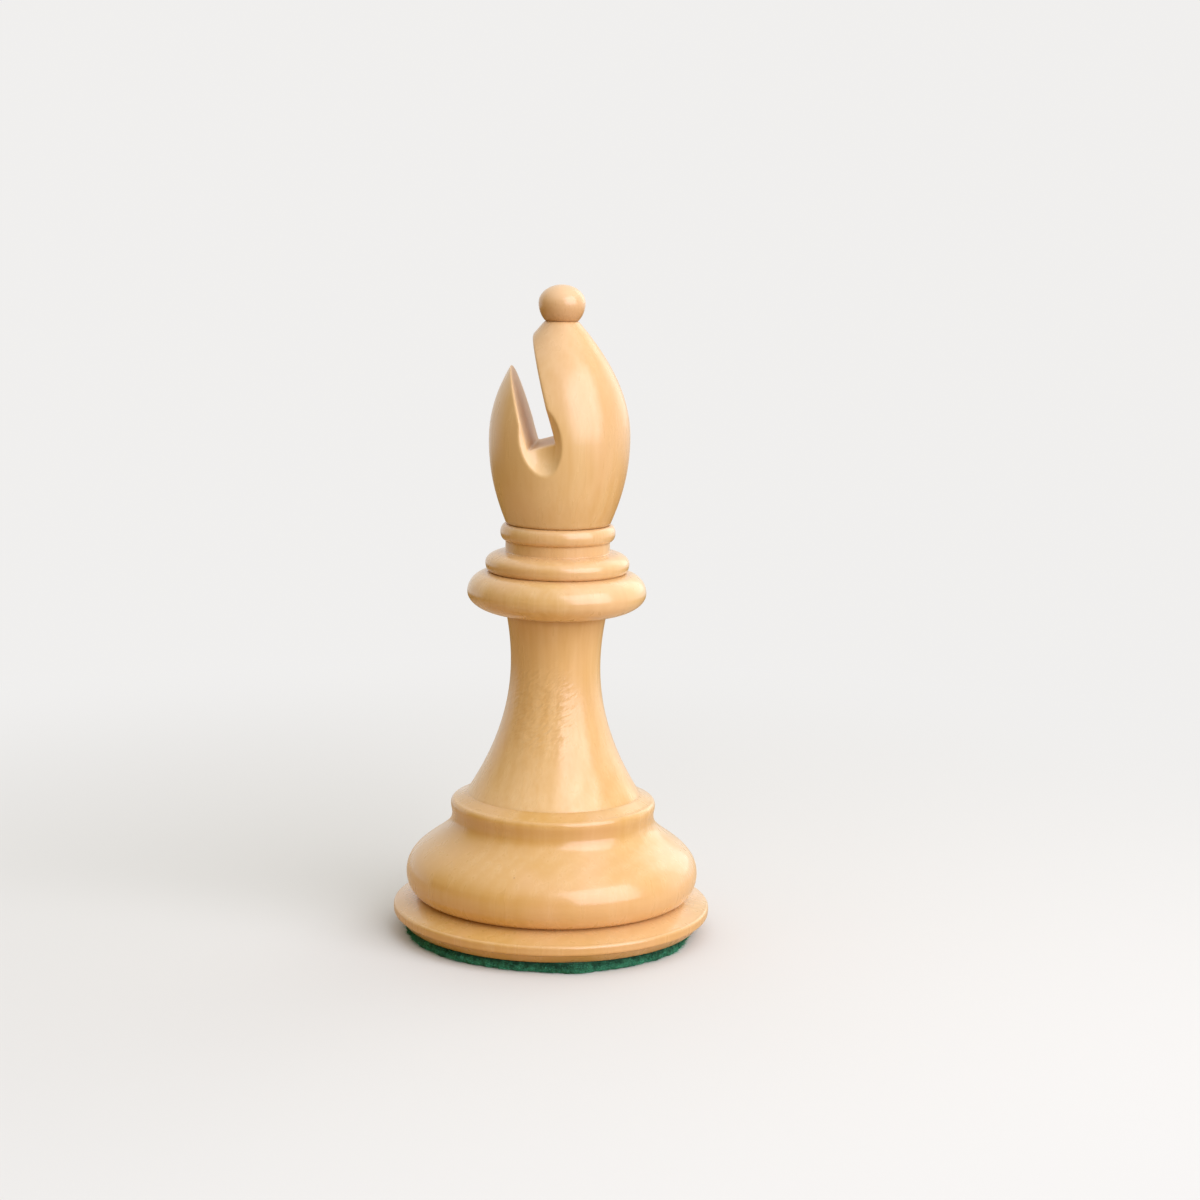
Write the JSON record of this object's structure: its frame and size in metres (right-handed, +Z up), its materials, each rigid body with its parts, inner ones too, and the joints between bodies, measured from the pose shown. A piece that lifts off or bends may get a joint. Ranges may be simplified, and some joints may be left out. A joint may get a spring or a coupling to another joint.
{
  "type": "chess bishop",
  "caption": "Weighted wooden chess bishop: turned foot, waisted stem and beaded collar under a slotted mitre with a ball finial, standing on a felt pad.",
  "frame": {"origin": "middle of the felt's underside, on the axis that the piece was turned about", "axes": "+Z up the turning axis from the felt to the finial; the mitre's cut goes through along Y and leans towards -X as it rises"},
  "size_m": [0.0382, 0.038, 0.0776],
  "materials": {
    "boxwood": "clear semi-gloss lacquer",
    "finial_wood": "clear semi-gloss lacquer",
    "plain_wood": "bare",
    "green_felt": "napped wool felt",
    "iron": "raw",
    "putty": "set filler"
  },
  "bodies": {
    "root": {"felt_pad": "green_felt", "base": "boxwood", "weight_slug": "iron", "weight_bedding": "putty", "pocket_plug": "plain_wood", "stem": "boxwood", "collar": "boxwood", "mitre": "boxwood", "finial": "finial_wood"}
  },
  "joints": []
}
